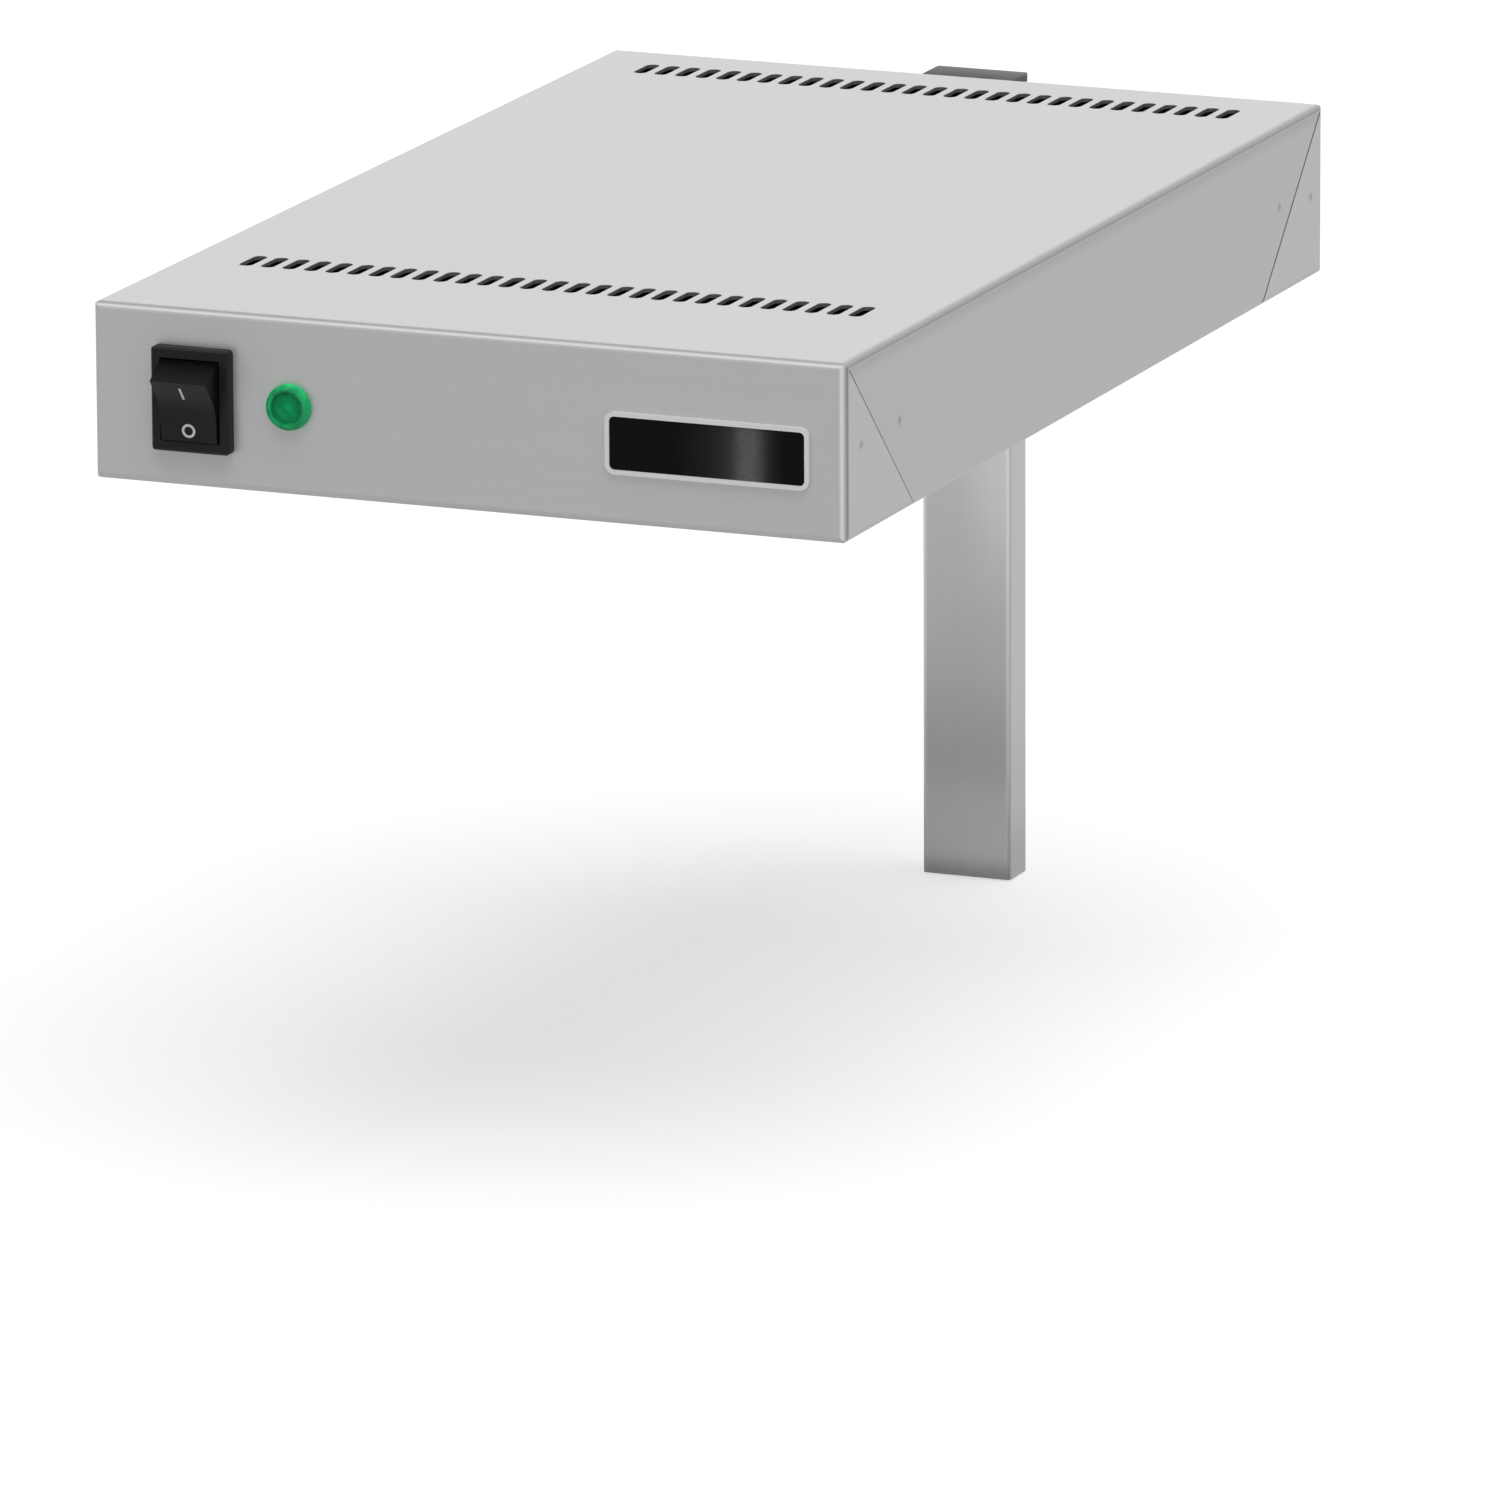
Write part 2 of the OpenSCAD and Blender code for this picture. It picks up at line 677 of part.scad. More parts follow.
module nameplate_frame() {
  color([0.8, 0.81, 0.82]) in_head() translate([plate_x, 0, plate_z])
    rotate([90, 0, 0]) linear_extrude(1.1) difference() {
      rounded_rect(plate_w, plate_h, 3);
      rounded_rect(plate_w - 2.8, plate_h - 2.8, 1.6);
    }
}

module nameplate_field() {
  color([0.03, 0.03, 0.035]) in_head() translate([plate_x, 0, plate_z])
    rotate([90, 0, 0]) linear_extrude(0.7)
      rounded_rect(plate_w - 2.9, plate_h - 2.9, 1.55);
}

// ---- wiring ----

module block(x, y0, poles) {
  w = poles * 9;
  translate([x, y0, floor_z]) difference() {
    union() {
      translate([-w / 2 - 2, 0, 0]) cube([w + 4, 16, 8]);
      for (i = [0 : poles - 1]) translate([(i - (poles - 1) / 2) * 9 - 3.6, 1, 0])
        cube([7.2, 14, 13]);
    }
    for (i = [0 : poles - 1]) translate([(i - (poles - 1) / 2) * 9, 0, 0]) {
      translate([0, 0, 7.4]) along_y(1.9, -1, 17, 24);
      for (y = [4.5, 11.5]) translate([0, y, 9]) cylinder(r = 1.6, h = 6, $fn = 24);
    }
  }
}

module mains_block() {
  color([0.9, 0.89, 0.85]) in_head() block(block_x, bay_rear + 16, 3);
}

module junction_block() {
  color([0.9, 0.89, 0.85]) in_head() block(joint_x, 34, 4);
}

module block_screws() {
  color([0.82, 0.78, 0.55]) in_head() {
    for (i = [-1 : 1], y = [4.5, 11.5])
      translate([block_x + 9 * i, bay_rear + 16 + y, floor_z + 9.3])
        cylinder(r = 1.5, h = 2.4, $fn = 24);
    for (i = [-1.5 : 1 : 1.5], y = [4.5, 11.5])
      translate([joint_x + 9 * i, 34 + y, floor_z + 9.3])
        cylinder(r = 1.5, h = 2.4, $fn = 24);
  }
}

module mains_leads() {
  yb = bay_rear + 16;
  color([0.16, 0.3, 0.55]) in_head()
    for (i = [0, 1]) {
      xb = block_x - 9 + 9 * i;
      xs = switch_x - 5.5;
      zl = 19 + 6 * i;
      zs = control_z + (i == 0 ? -7 : 7);
      lead([[xb, yb - 0.2, floor_z + 7.4], [xb, yb - 7, floor_z + 7.4],
        [xb - 14, yb - 9 + 3 * i, 14 + 5 * i], [-lead_y + 14, yb - 8, zl],
        [-lead_y, yb - 10, zl], [-lead_y, bay_rear - 20, zl],
        [-lead_y, mid_y, zl], [-lead_y, bay_front + 20, zl],
        [-lead_y, bay_front - 8, zl], [xs - 8, 54, zs], [xs, 46, zs],
        [xs, 35.1, zs]], 1.3);
    }
}

module earth_stud() {
  color([0.8, 0.68, 0.35]) in_head() translate([70, 0, 27]) {
    along_y(2, wall_in - 14, wall_in);
    translate([0, wall_in - 5, 0]) rotate([90, 0, 0]) cylinder(d = 8.1, h = 3, $fn = 6);
    along_y(4.4, wall_in - 5, wall_in);
  }
}

module earth_lead() {
  yb = bay_rear + 16;
  xb = block_x + 9;
  color([0.35, 0.6, 0.15]) in_head()
    lead([[xb, yb - 0.2, floor_z + 7.4], [xb, yb - 8, floor_z + 7.4],
      [xb + 20, yb - 9, 14], [48, yb - 4, 20], [66, wall_in - 18, 22],
      [76.5, wall_in - 14, 22], [76.5, wall_in - 8, 24],
      [75.3, wall_in - 6.5, 27]], 1.3);
}

// ---- cable gland in the rear wall ----

module at_gland() {
  in_head() translate([gland_x, head_d, gland_z]) children();
}

module gland_body() {
  color([0.1, 0.1, 0.11]) at_gland()
    difference() {
      union() {
        along_y(8, -9, 0.5);
        translate([0, 5, 0]) rotate([90, 0, 0]) cylinder(d = 22, h = 5, $fn = 6);
        along_y(7.5, 4, 12);
      }
      along_y(5.4, -10, 13);
    }
}

module gland_locknut() {
  color([0.12, 0.12, 0.13]) at_gland()
    translate([0, -sheet_t, 0]) rotate([90, 0, 0]) hex_nut(22, 4, 8.03);
}

module gland_cap() {
  color([0.1, 0.1, 0.11]) at_gland()
    rotate([-90, 0, 0]) difference() {
      union() {
        translate([0, 0, 5.6]) cylinder(d = 22, h = 8, $fn = 6);
        translate([0, 0, 13.6]) cylinder(r1 = 9.2, r2 = 6.4, h = 5, $fn = fine);
      }
      translate([0, 0, 5]) cylinder(r = 7.6, h = 8.2, $fn = fine);
      translate([0, 0, 4]) cylinder(r = 4.4, h = 16, $fn = fine);
    }
}

module gland_seal() {
  color([0.2, 0.2, 0.2]) at_gland()
    difference() {
      along_y(5.3, -2, 12);
      along_y(4, -3, 13);
    }
}

// ---- post ----

module post_tube() {
  color([0.72, 0.73, 0.74])
    difference() {
      linear_extrude(post_top) rounded_rect(post_w, post_d, post_r);
      translate([0, 0, -1]) linear_extrude(post_top + 2)
        rounded_rect(post_w - 2 * post_t, post_d - 2 * post_t, post_r - post_t);
      for (z = bolt_zs) translate([0, 0, post_drop + z])
        along_y(3.3, -post_d, post_d);
      for (s = [-1, 1]) translate([0, 0, insert_z + s * insert_gap / 2])
        along_y(4.5, 0, post_d);
    }
}

module post_cap() {
  bevel = 0.4;
  hw = post_w / 2 + cap_over;
  front = -post_d / 2;
  rear = post_d / 2 + cap_over;
  color([0.07, 0.07, 0.075]) translate([0, 0, post_top]) {
    intersection() {
      translate([0, cap_over / 2, 0]) linear_extrude(cap_t)
        rounded_rect(post_w + 2 * cap_over, post_d + cap_over, post_r + cap_over);
      translate([0, rear, 0]) rotate([90, 0, 0]) linear_extrude(rear - front)
        polygon([[-hw, 0], [hw, 0], [hw, cap_t - bevel], [hw - bevel, cap_t],
          [-hw + bevel, cap_t], [-hw, cap_t - bevel]]);
      translate([-hw, 0, 0]) rotate([90, 0, 90]) linear_extrude(2 * hw)
        polygon([[front, 0], [rear, 0], [rear, cap_t - bevel], [rear - bevel, cap_t],
          [front + bevel, cap_t], [front, cap_t - bevel]]);
    }
    translate([0, 0, -6]) linear_extrude(6)
      rounded_rect(post_w - 2 * post_t - 0.2, post_d - 2 * post_t - 0.2, post_r - post_t + 0.2);
  }
}

module post_bolts() {
  end_y = -post_d / 2 - sheet_t - 3 - 8;
  color([0.8, 0.8, 0.82])
    for (z = bolt_zs) translate([0, 0, post_drop + z]) {
      along_y(3, end_y, post_d / 2 + 1.6);
      translate([0, post_d / 2 + 1.2 + 4, 0]) rotate([90, 0, 0])
        cylinder(d = 10 / cos(30), h = 4, $fn = 6);
    }
}

module post_washers() {
  color([0.78, 0.78, 0.8])
    for (z = bolt_zs) translate([0, 0, post_drop + z])
      for (y = [post_d / 2, -post_d / 2 - sheet_t - 4.2]) translate([0, y, 0])
        difference() {
          along_y(6, 0, 1.2);
          along_y(3.1, -1, 3);
        }
}

module post_nuts() {
  color([0.78, 0.78, 0.8])
    for (z = bolt_zs)
      translate([0, -post_d / 2 - sheet_t - 4.2, post_drop + z])
        rotate([90, 0, 0]) hex_nut(10, 5, 3.03);
}

module fixing_inserts() {
  color([0.76, 0.74, 0.68])
    for (s = [-1, 1]) translate([0, post_d / 2, insert_z + s * insert_gap / 2])
      difference() {
        union() {
          along_y(6, 0, 0.9);
          along_y(4.4, -10, 0.5);
        }
        along_y(insert_bore_r, -12, 3);
      }
}

module foot_plug() {
  color([0.08, 0.08, 0.085]) difference() {
    linear_extrude(9)
      rounded_rect(post_w - 2 * post_t - 0.2, post_d - 2 * post_t - 0.2, post_r - post_t + 0.2);
    translate([-post_w / 2 + 4, -post_d / 2 + 4, 2.5])
      cube([post_w - 8, post_d - 8, 10]);
  }
}

head_top();
front_wall();
rear_wall();
left_wall();
right_wall();
bottom_flange();
corner_backings();
rear_stiffener();
front_partition();
rear_partition();
control_cover();
wiring_cover();
cover_screws();
reflector();
reflector_screws();
reflector_spacers();
reflector_nuts();
emitter_left();
emitter_right();
emitter_clips();
emitter_beads();
emitter_leads();
guard_grille();
switch_housing();
switch_rocker();
rocker_marks();
switch_terminals();
switch_leads();
pilot_lens();
pilot_nut();
pilot_neon();
pilot_leads();
nameplate_frame();
nameplate_field();
mains_block();
junction_block();
block_screws();
mains_leads();
earth_stud();
earth_lead();
gland_body();
gland_locknut();
gland_cap();
gland_seal();
post_tube();
post_cap();
post_bolts();
post_washers();
post_nuts();
fixing_inserts();
foot_plug();
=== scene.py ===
"""Looks of the heat lamp warmer: materials, softened edges, studio and camera."""

import math

import bpy
from mathutils import Matrix, Vector


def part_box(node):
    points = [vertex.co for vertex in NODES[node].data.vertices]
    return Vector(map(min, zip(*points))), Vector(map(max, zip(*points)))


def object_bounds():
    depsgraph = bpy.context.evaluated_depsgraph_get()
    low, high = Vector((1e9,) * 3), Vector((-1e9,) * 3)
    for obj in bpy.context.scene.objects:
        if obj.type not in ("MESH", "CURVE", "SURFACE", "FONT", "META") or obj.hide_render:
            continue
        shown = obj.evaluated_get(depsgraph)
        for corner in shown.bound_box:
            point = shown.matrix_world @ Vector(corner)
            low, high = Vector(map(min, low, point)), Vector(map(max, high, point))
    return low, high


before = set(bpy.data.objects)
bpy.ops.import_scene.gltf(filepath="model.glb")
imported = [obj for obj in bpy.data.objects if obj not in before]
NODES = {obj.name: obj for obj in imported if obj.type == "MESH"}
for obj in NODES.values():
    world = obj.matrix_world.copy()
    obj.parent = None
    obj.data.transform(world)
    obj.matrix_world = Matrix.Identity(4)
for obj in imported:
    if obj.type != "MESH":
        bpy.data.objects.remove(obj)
cad_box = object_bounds()
MM = 0.001

# ---------------------------------------------------------------- camera

# the solved camera: its turn, tilt and roll in radians, its place in metres and its lens
YAW, PITCH, ROLL = 0.388604, 0.243952, 0.004303
EYE = Vector((1.824256, -4.644784, 1.282024))
SENSOR_MM = 36
LENS_MM = 386.897
NEAR_CLIP, FAR_CLIP = 0.1, 200


def make_camera():
    """A long lens to the right of the front and a little above."""
    right = Vector((math.cos(YAW), math.sin(YAW), 0))
    ahead = Vector(
        (-math.sin(YAW) * math.cos(PITCH), math.cos(YAW) * math.cos(PITCH), -math.sin(PITCH))
    )
    down = ahead.cross(right)
    r = math.cos(ROLL) * right + math.sin(ROLL) * down
    d = -math.sin(ROLL) * right + math.cos(ROLL) * down
    data = bpy.data.cameras.new("camera")
    data.sensor_width = SENSOR_MM
    data.lens = LENS_MM
    data.clip_start, data.clip_end = NEAR_CLIP, FAR_CLIP
    cam = bpy.data.objects.new("camera", data)
    m = Matrix((r, -d, -ahead)).transposed().to_4x4()
    m.translation = EYE
    cam.matrix_world = m
    bpy.context.scene.collection.objects.link(cam)
    bpy.context.scene.camera = cam


make_camera()

# ---------------------------------------------------------------- node helpers


class Mat:
    """A node material with short calls for its nodes."""

    def __init__(self, name):
        self.mat = bpy.data.materials.new(name)
        self.mat.use_nodes = True
        self.tree = self.mat.node_tree
        self.tree.nodes.clear()
        self.out = self.add("ShaderNodeOutputMaterial")
        self.bsdf = self.add("ShaderNodeBsdfPrincipled")
        self.link(self.bsdf.outputs[0], self.out.inputs[0])

    def add(self, kind, **props):
        n = self.tree.nodes.new(kind)
        for k, v in props.items():
            setattr(n, k, v)
        return n

    def link(self, a, b):
        self.tree.links.new(a, b)

    def put(self, value, socket):
        """A number, colour or socket goes into a socket."""
        if isinstance(value, bpy.types.NodeSocket):
            self.link(value, socket)
        else:
            socket.default_value = value

    def math(self, op, a, b=0.0, c=0.0):
        n = self.add("ShaderNodeMath", operation=op)
        for v, s in zip((a, b, c), n.inputs):
            self.put(v, s)
        return n.outputs[0]

    def coords(self, scale=(1, 1, 1)):
        """Place on the object in metres, times the scale."""
        tc = self.add("ShaderNodeTexCoord")
        mp = self.add("ShaderNodeMapping")
        mp.inputs["Scale"].default_value = scale
        self.link(tc.outputs["Object"], mp.inputs["Vector"])
        return mp.outputs[0]

    def noise(self, vector, scale=1.0, detail=2.0, rough=0.5):
        n = self.add("ShaderNodeTexNoise")
        n.inputs["Scale"].default_value = scale
        n.inputs["Detail"].default_value = detail
        n.inputs["Roughness"].default_value = rough
        self.link(vector, n.inputs["Vector"])
        return n.outputs["Fac"]

    def span(self, value, lo, hi, a=0.0, b=1.0, smooth=False):
        """The value's place from lo to hi, as a number from a to b."""
        n = self.add("ShaderNodeMapRange")
        if smooth:
            n.interpolation_type = "SMOOTHSTEP"
        for v, s in zip((value, lo, hi, a, b), n.inputs):
            self.put(v, s)
        return n.outputs[0]

    def mix(self, fac, a, b):
        """Colour a at factor 0, colour b at factor 1."""
        n = self.add("ShaderNodeMix", data_type="RGBA")
        self.put(fac, n.inputs[0])
        self.put(a, n.inputs[6])
        self.put(b, n.inputs[7])
        return n.outputs[2]

    def blend(self, fac, a, b):
        """Number a at factor 0, number b at factor 1."""
        n = self.add("ShaderNodeMix", data_type="FLOAT")
        self.put(fac, n.inputs[0])
        self.put(a, n.inputs[2])
        self.put(b, n.inputs[3])
        return n.outputs[0]

    def bump(self, height, strength, distance):
        n = self.add("ShaderNodeBump")
        n.inputs["Strength"].default_value = strength
        n.inputs["Distance"].default_value = distance
        self.link(height, n.inputs["Height"])
        self.link(n.outputs[0], self.bsdf.inputs["Normal"])

    def set(self, **sockets):
        names = {
            "color": "Base Color",
            "metallic": "Metallic",
            "rough": "Roughness",
            "ior": "IOR",
            "coat": "Coat Weight",
            "coat_rough": "Coat Roughness",
            "transmission": "Transmission Weight",
            "specular": "Specular IOR Level",
        }
        for k, v in sockets.items():
            self.put(v, self.bsdf.inputs[names[k]])
        return self


HEAD = ["head_top", "front_wall", "rear_wall", "left_wall", "right_wall", "bottom_flange"]


def head_box():
    """Lowest and highest corner of the whole folded sheet."""
    corners = [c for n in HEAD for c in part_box(n)]
    return [Vector([pick(c[i] for c in corners) for i in range(3)]) for pick in (min, max)]


def curve(m, value, stops):
    """A smooth curve through (place, height) stops, places 0 to 1."""
    n = m.add("ShaderNodeFloatCurve")
    c = n.mapping.curves[0]
    while len(c.points) < len(stops):
        c.points.new(0.5, 0.5)
    for point, (x, y) in zip(c.points, stops):
        point.location = (x, y)
    n.mapping.update()
    m.put(value, n.inputs["Value"])
    return n.outputs[0]


def grey(value):
    """Steel grey: a touch more blue than neutral."""
    return (value, value, value * 1.004, 1)


def darker(color, share):
    """The colour with each channel times the share."""
    return tuple(c * share for c in color[:3]) + (1,)


def satin_steel(name, base):
    """Fine brushed stainless of the head: painted highlight and shade lines along the bends, painted shade on inner
    faces and slot edges.
    """
    m = Mat(name)
    geo = m.add("ShaderNodeNewGeometry")
    sep = m.add("ShaderNodeSeparateXYZ")
    m.link(geo.outputs["True Normal"], sep.inputs[0])
    facing = m.math("GREATER_THAN", m.math("ABSOLUTE", sep.outputs[1]), 0.7)
    lengthways = m.noise(m.coords((700, 4, 700)), 1, 4, 0.6)
    crossways = m.noise(m.coords((4, 700, 700)), 1, 4, 0.6)
    streak = m.blend(facing, lengthways, crossways)
    cloud = m.noise(m.coords((7, 7, 7)), 1, 3, 0.55)
    tone = m.math("ADD", m.span(streak, 0.3, 0.7, -0.5, 0.5), m.span(cloud, 0.3, 0.7, -0.5, 0.5))
    # how far round a bend the surface has turned, from the top or from the front
    soft = m.add("ShaderNodeSeparateXYZ")
    m.link(geo.outputs["Normal"], soft.inputs[0])
    nx, ny, nz = soft.outputs
    to_side, to_front = m.math("ABSOLUTE", nx), m.math("ABSOLUTE", ny)
    side_way = m.math("MAXIMUM", to_side, to_front)
    top_turn = m.math("DIVIDE", m.math("ARCTAN2", side_way, m.math("MAXIMUM", nz, 0.0)), math.pi / 2)
    corner_turn = m.math("DIVIDE", m.math("ARCTAN2", to_side, to_front), math.pi / 2)
    to_the_side = m.math("GREATER_THAN", to_side, to_front)
    # painted highlight and shade lines along the bends, set by how far round each bend the surface has turned
    top_line = m.blend(to_the_side, curve(m, top_turn, FRONT_BEND), curve(m, top_turn, SIDE_BEND))
    at = m.add("ShaderNodeSeparateXYZ")
    m.link(m.coords(), at.inputs[0])
    # the painted lines round the upright corners are drawn on the right half only; the left half stays plain
    right_half = m.math("GREATER_THAN", at.outputs[0], 0.0)
    side_line = m.blend(right_half, 0.5, curve(m, corner_turn, CORNER_BEND))
    upright = m.math("LESS_THAN", m.math("ABSOLUTE", nz), 0.25)
    line = m.math("MULTIPLY", m.blend(upright, top_line, side_line), 2.0)
    # inside the sheet: the distance to the outer, rounded box is below zero
    lo, hi = head_box()
    deepest, far = None, 0.0
    for axis in range(3):
        mid, half = (lo[axis] + hi[axis]) / 2, (hi[axis] - lo[axis]) / 2 - BEND
        q = m.math("SUBTRACT", m.math("ABSOLUTE", m.math("SUBTRACT", at.outputs[axis], mid)), half)
        out = m.math("MAXIMUM", q, 0.0)
        far = m.math("MULTIPLY_ADD", out, out, far)
        deepest = q if deepest is None else m.math("MAXIMUM", deepest, q)
    gone = m.math("ADD", m.math("SQRT", far), m.math("MINIMUM", deepest, 0.0))
    deep = m.math("LESS_THAN", gone, BEND - SKIN)
    # painted shade: faces inside the sheet, the slot walls and inner faces, take the inside tone
    shade = m.blend(deep, line, INSIDE_TONE)
    # the side faces: a line down each corner seam, faint weld marks, and a shade under the top bend
    y, z = (m.math("SUBTRACT", at.outputs[i], lo[i]) for i in (1, 2))
    depth, tall = hi.y - lo.y, hi.z - lo.z
    outer = m.math("GREATER_THAN", m.math("ABSOLUTE", at.outputs[0]), hi.x - OUTER_BAND)
    below = m.math("LESS_THAN", z, tall - SEAM_TOP)
    for end, way, half, top_tone, low_tone in SEAMS:
        run = m.math("ADD", m.math("MULTIPLY_ADD", y, way, -end * depth * way), z)
        across = m.math("ABSOLUTE", m.math("SUBTRACT", run, tall + SEAM_RISE))
        off = m.math("MULTIPLY", across, math.sqrt(0.5))
        near = m.span(off, half, half + SEAM_FADE, 1, 0)
        near = m.math("MULTIPLY", near, m.math("MULTIPLY", outer, below))
        shade = m.blend(near, shade, m.span(z, 0.0, tall, low_tone, top_tone))
    for wy, wz in WELDS:
        weld_y = wy if wy > 0 else depth + wy
        dy, dz = m.math("SUBTRACT", y, weld_y), m.math("SUBTRACT", z, wz)
        r = m.math("SQRT", m.math("MULTIPLY_ADD", dy, dy, m.math("MULTIPLY", dz, dz)))
        dot = m.math("MULTIPLY", m.span(r, WELD_CORE, WELD_EDGE, 1, 0, smooth=True), outer)
        shade = m.math("MULTIPLY", shade, m.blend(dot, 1.0, WELD_TONE))
    under = m.span(z, tall - SHADE_FROM, tall - SHADE_TO, 0, 1, smooth=True)
    under = m.math("MULTIPLY", under, outer)
    shade = m.math("MULTIPLY", shade, m.blend(under, 1.0, SHADE_TONE))
    flat = m.mix(m.span(tone, -1, 1), grey(base * 0.975), grey(base * 1.025))
    tint = m.add("ShaderNodeVectorMath", operation="SCALE")
    m.link(flat, tint.inputs[0])
    m.link(shade, tint.inputs["Scale"])
    m.set(
        color=tint.outputs[0],
        metallic=METALLIC,
        rough=m.span(tone, -1, 1, 0.38, 0.48),
    )
    m.bump(streak, 0.12, 0.00005)
    return m.mat


# Painted brightness round a bend (half is plain), painted highlight and shade lines that stand in for reflections:
# from the top down to the front or rear, from the top down to a side, and from the front round to a side.
FRONT_BEND = [(0, 0.5), (0.14, 0.49), (0.42, 0.26), (0.66, 0.62), (0.82, 0.5), (1, 0.5)]
SIDE_BEND = [(0, 0.5), (0.1, 0.48), (0.4, 0.35), (0.7, 0.31), (0.9, 0.37), (1, 0.5)]
CORNER_BEND = [(0, 0.5), (0.06, 0.56), (0.23, 0.73), (0.45, 0.53)]
CORNER_BEND += [(0.63, 0.33), (0.8, 0.25), (0.93, 0.42), (1, 0.5)]
# outer radius of the sheet's bends, and how far below the outer skin a face counts as inside
BEND = 0.0023
SKIN = 0.00016
# tone of the painted shade on faces inside the sheet
INSIDE_TONE = 0.34
# the corner seams on the side faces, front and rear: where along the depth a seam starts (0 or 1), which way it
# runs, half its width, and its tone at the top and at the bottom
SEAMS = ((0, 1.0, 0.0002, 0.66, 0.97), (1, -1.0, 0.00036, 0.16, 0.16))
SEAM_FADE = 0.00012
SEAM_RISE = 0.0003
# weld marks: distance from the front (or, if below zero, from the rear) and height, with the tone of a mark
WELDS = ((0.0118, 0.0275), (0.0421, 0.0283), (-0.0387, 0.0286), (-0.0107, 0.0263))
WELD_CORE, WELD_EDGE, WELD_TONE = 0.0008, 0.0019, 0.74
# the shade just under the side's top bend: its lower and upper distance below the top, and its tone
SHADE_FROM, SHADE_TO, SHADE_TONE = 0.0065, 0.002, 0.84
OUTER_BAND = 0.0003
SEAM_TOP = 0.0024
METALLIC = 0.32


# Painted brightness up the post (half is plain), a painted fall of light, on its front and on its side, and painted
# highlight and shade round its upright bends low and high up.
FRONT_FALL = [(0, 0.24), (0.01, 0.3), (0.018, 0.37), (0.037, 0.46), (0.086, 0.47), (0.148, 0.415), (0.21, 0.45)]
FRONT_FALL += [(0.27, 0.505), (0.38, 0.55), (0.43, 0.56), (0.5, 0.58), (1, 0.58)]
SIDE_FALL = [(0, 0.37), (0.037, 0.37), (0.086, 0.42), (0.148, 0.43), (0.21, 0.455), (0.33, 0.47), (1, 0.475)]
POST_LOW_BEND = [(0, 0.5), (0.15, 0.5), (0.45, 0.35), (0.7, 0.42), (0.88, 0.5), (1, 0.5)]
POST_BEND = [(0, 0.5), (0.15, 0.58), (0.35, 0.6), (0.55, 0.5), (0.72, 0.45), (0.88, 0.48), (1, 0.5)]


def post_steel(name, base):
    """Satin tube, brushed along its length, with painted light and shade: a painted fall of light up its height and
    round its upright bends, and slow painted light and dark patches of its surroundings.
    """
    m = Mat(name)
    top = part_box("post_tube")[1].z
    streak = m.noise(m.coords((500, 500, 4)), 1, 4, 0.6)
    cloud = m.noise(m.coords((22, 22, 9)), 1, 3, 0.6)
    at = m.add("ShaderNodeSeparateXYZ")
    m.link(m.coords(), at.inputs[0])
    height = m.math("DIVIDE", at.outputs[2], top)
    fall = curve(m, height, FRONT_FALL)
    # painted light: lighter towards the right in the upper half, and along the left edge
    right = m.span(at.outputs[0], -0.006, 0.014, smooth=True)
    right = m.math("MULTIPLY", right, m.span(height, 0.3, 0.55, smooth=True))
    left = m.span(at.outputs[0], -0.0125, -0.0145, smooth=True)
    lift = m.math("ADD", m.math("MULTIPLY_ADD", right, 0.26, 1.0), m.math("MULTIPLY", left, 0.08))
    fall = m.math("MULTIPLY", fall, lift)
    geo = m.add("ShaderNodeNewGeometry")
    soft = m.add("ShaderNodeSeparateXYZ")
    m.link(geo.outputs["Normal"], soft.inputs[0])
    nx, ny = (m.math("ABSOLUTE", soft.outputs[i]) for i in (0, 1))
    turn = m.math("DIVIDE", m.math("ARCTAN2", nx, ny), math.pi / 2)
    fall = m.blend(m.span(turn, 0.35, 0.8, smooth=True), fall, curve(m, height, SIDE_FALL))
    bend = m.blend(m.span(height, 0.07, 0.15), curve(m, turn, POST_LOW_BEND), curve(m, turn, POST_BEND))
    fall = m.math("MULTIPLY", fall, m.math("MULTIPLY", bend, 2.0))
    tone = m.math("ADD", m.span(streak, 0.3, 0.7, -0.12, 0.12), m.span(cloud, 0.3, 0.7, -0.75, 0.75))
    flat = m.mix(m.span(tone, -1, 1), grey(base * 0.93), grey(base * 1.07))
    tint = m.add("ShaderNodeVectorMath", operation="SCALE")
    m.link(flat, tint.inputs[0])
    m.link(m.math("MULTIPLY", fall, 2.0), tint.inputs["Scale"])
    m.set(color=tint.outputs[0], metallic=METALLIC, rough=m.span(tone, -1, 1, 0.38, 0.46))
    m.bump(streak, 0.12, 0.00005)
    return m.mat


def plain_metal(name, color, rough, metallic=0.9, grit=900, strength=0.1, vary=0.05):
    m = Mat(name)
    fine = m.noise(m.coords((grit, grit, grit)), 1, 3)
    wide = m.noise(m.coords((25, 25, 25)), 1, 2)
    dark = darker(color, 1 - vary)
    m.set(
        color=m.mix(wide, dark, color),
        metallic=metallic,
        rough=m.span(fine, 0.3, 0.7, rough * 0.85, rough * 1.2),
    )
    m.bump(fine, strength, 0.00008)
    return m.mat


